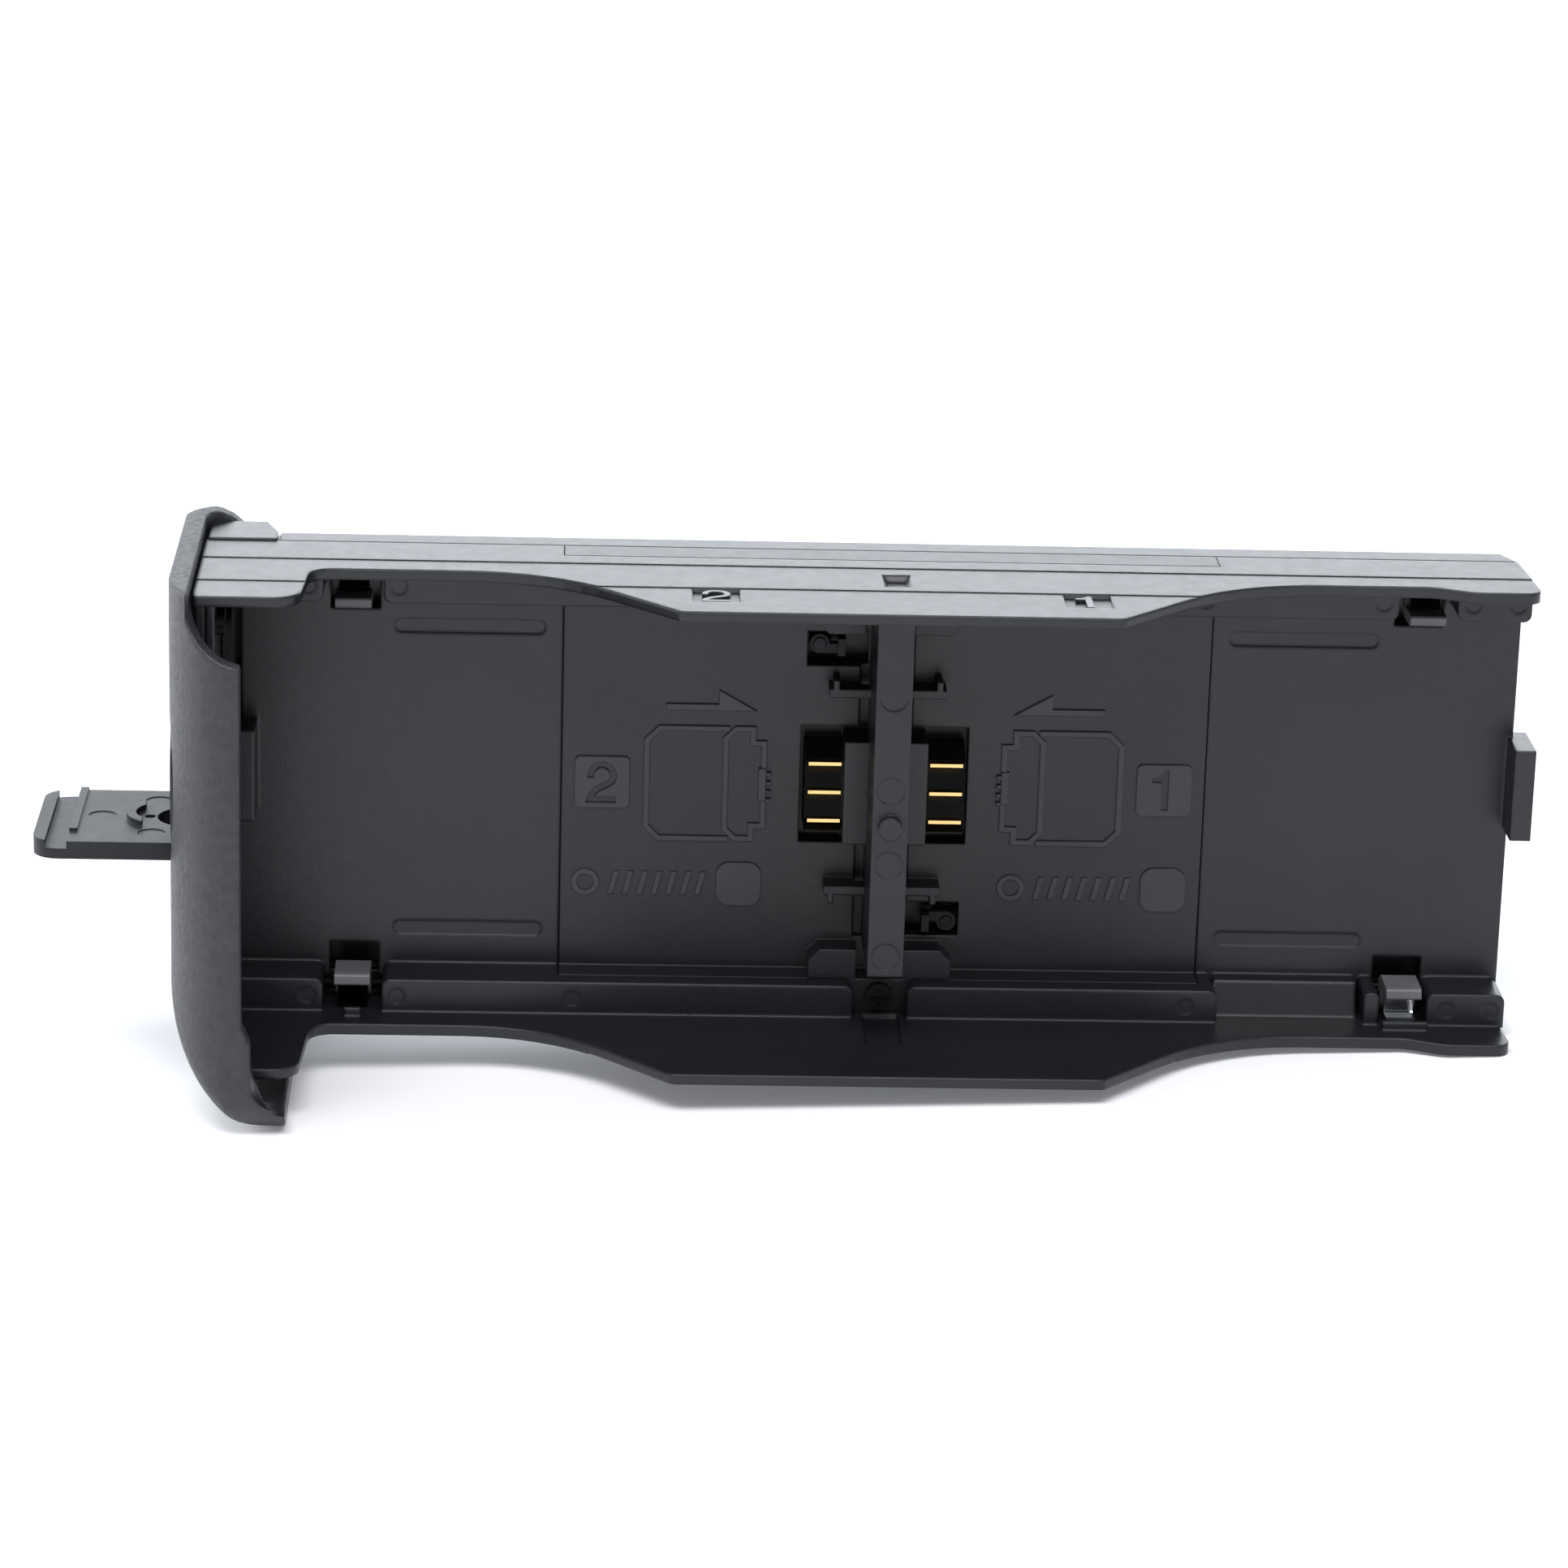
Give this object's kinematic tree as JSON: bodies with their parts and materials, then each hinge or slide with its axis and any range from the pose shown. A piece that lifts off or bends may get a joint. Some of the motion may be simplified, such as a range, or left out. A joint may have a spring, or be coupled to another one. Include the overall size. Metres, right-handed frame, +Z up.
{
  "type": "camera battery grip tray",
  "caption": "Drawer of a camera battery grip that carries two battery packs end to end, with a textured end door and a flip-out lock lever",
  "frame": {"origin": "middle of the rear face of the rear cover, halfway between the two walls and on the divider between the two packs", "axes": "X runs along the tray with the door at -X, Y runs out of the rear face so that the open side faces -Y, Z is up across the tray"},
  "size_m": [0.1503, 0.0374, 0.0545],
  "materials": {
    "black_plastic": "fine spark-eroded matte moulding",
    "panel_plastic": "fine matte moulding",
    "gloss_black": "smooth black moulding",
    "grey_plastic": "satin grey moulding",
    "grip_skin": "leather-grain rubber skin",
    "gold_contact": "gold plated",
    "steel": "bright spring steel",
    "black_steel": "black oxide",
    "board": "green solder mask"
  },
  "bodies": {
    "tray": {"tray_frame": "black_plastic", "center_panel": "panel_plastic", "terminal_block": "gloss_black", "contact_blades": "gold_contact", "terminal_board": "board", "rear_contacts": "gold_contact", "rear_cover": "black_plastic", "rear_cover_screws": "black_steel", "panel_screw": "black_steel", "claw_pins": "steel", "claw_spring_top_left": "steel", "claw_spring_top_right": "steel", "claw_spring_bottom_left": "steel", "claw_spring_bottom_right": "steel", "sense_pins": "steel", "sense_spring_left": "steel", "sense_spring_right": "steel", "door_skin": "grip_skin", "door_shell": "black_plastic", "door_frame": "black_plastic", "door_screws": "steel"},
    "lock": {"lock_rotor": "black_plastic", "rotor_seal": "grip_skin", "lock_washer": "steel", "lock_cam": "black_steel", "lock_screw": "steel", "lever_pin": "steel"},
    "lever": {"lock_lever": "black_plastic"},
    "claw_tl": {"claw_top_left": "grey_plastic"},
    "claw_tr": {"claw_top_right": "grey_plastic"},
    "claw_bl": {"claw_bottom_left": "grey_plastic"},
    "claw_br": {"claw_bottom_right": "grey_plastic"},
    "sense_l": {"sense_lever_left": "grey_plastic"},
    "sense_r": {"sense_lever_right": "grey_plastic"}
  },
  "joints": [
    {"name": "lock_turn", "type": "hinge", "parent": "tray", "child": "lock", "pos_m": [-0.0671, -0.0135, 0.0048], "axis": [-1, 0, 0], "range_deg": [0, 90]},
    {"name": "lever_fold", "type": "hinge", "parent": "lock", "child": "lever", "pos_m": [-0.06965, -0.0135, -0.0028], "axis": [0, 1, 0], "range_deg": [0, 90]},
    {"name": "claw_tl_press", "type": "hinge", "parent": "tray", "child": "claw_tl", "pos_m": [-0.0536, -0.0061, 0.02185], "axis": [-1, 0, 0], "range_deg": [0, 8], "stiffness_Nm_per_rad": 0.01, "springref_deg": -5.73, "deforming": ["claw_spring_top_left"]},
    {"name": "claw_tr_press", "type": "hinge", "parent": "tray", "child": "claw_tr", "pos_m": [0.0536, -0.0061, 0.02185], "axis": [-1, 0, 0], "range_deg": [0, 8], "stiffness_Nm_per_rad": 0.01, "springref_deg": -5.73, "deforming": ["claw_spring_top_right"]},
    {"name": "claw_bl_press", "type": "hinge", "parent": "tray", "child": "claw_bl", "pos_m": [-0.0536, -0.0061, -0.02185], "axis": [1, 0, 0], "range_deg": [0, 8], "stiffness_Nm_per_rad": 0.01, "springref_deg": -5.73, "deforming": ["claw_spring_bottom_left"]},
    {"name": "claw_br_press", "type": "hinge", "parent": "tray", "child": "claw_br", "pos_m": [0.0536, -0.0061, -0.02185], "axis": [1, 0, 0], "range_deg": [0, 8], "stiffness_Nm_per_rad": 0.01, "springref_deg": -5.73, "deforming": ["claw_spring_bottom_right"]},
    {"name": "sense_l_press", "type": "hinge", "parent": "tray", "child": "sense_l", "pos_m": [-0.0069, -0.0056, 0.0147], "axis": [0, 1, 0], "range_deg": [0, 8], "stiffness_Nm_per_rad": 0.004, "springref_deg": -5.73, "deforming": ["sense_spring_left"]},
    {"name": "sense_r_press", "type": "hinge", "parent": "tray", "child": "sense_r", "pos_m": [0.0069, -0.0056, -0.0147], "axis": [0, 1, 0], "range_deg": [0, 8], "stiffness_Nm_per_rad": 0.004, "springref_deg": -5.73, "deforming": ["sense_spring_right"]}
  ]
}
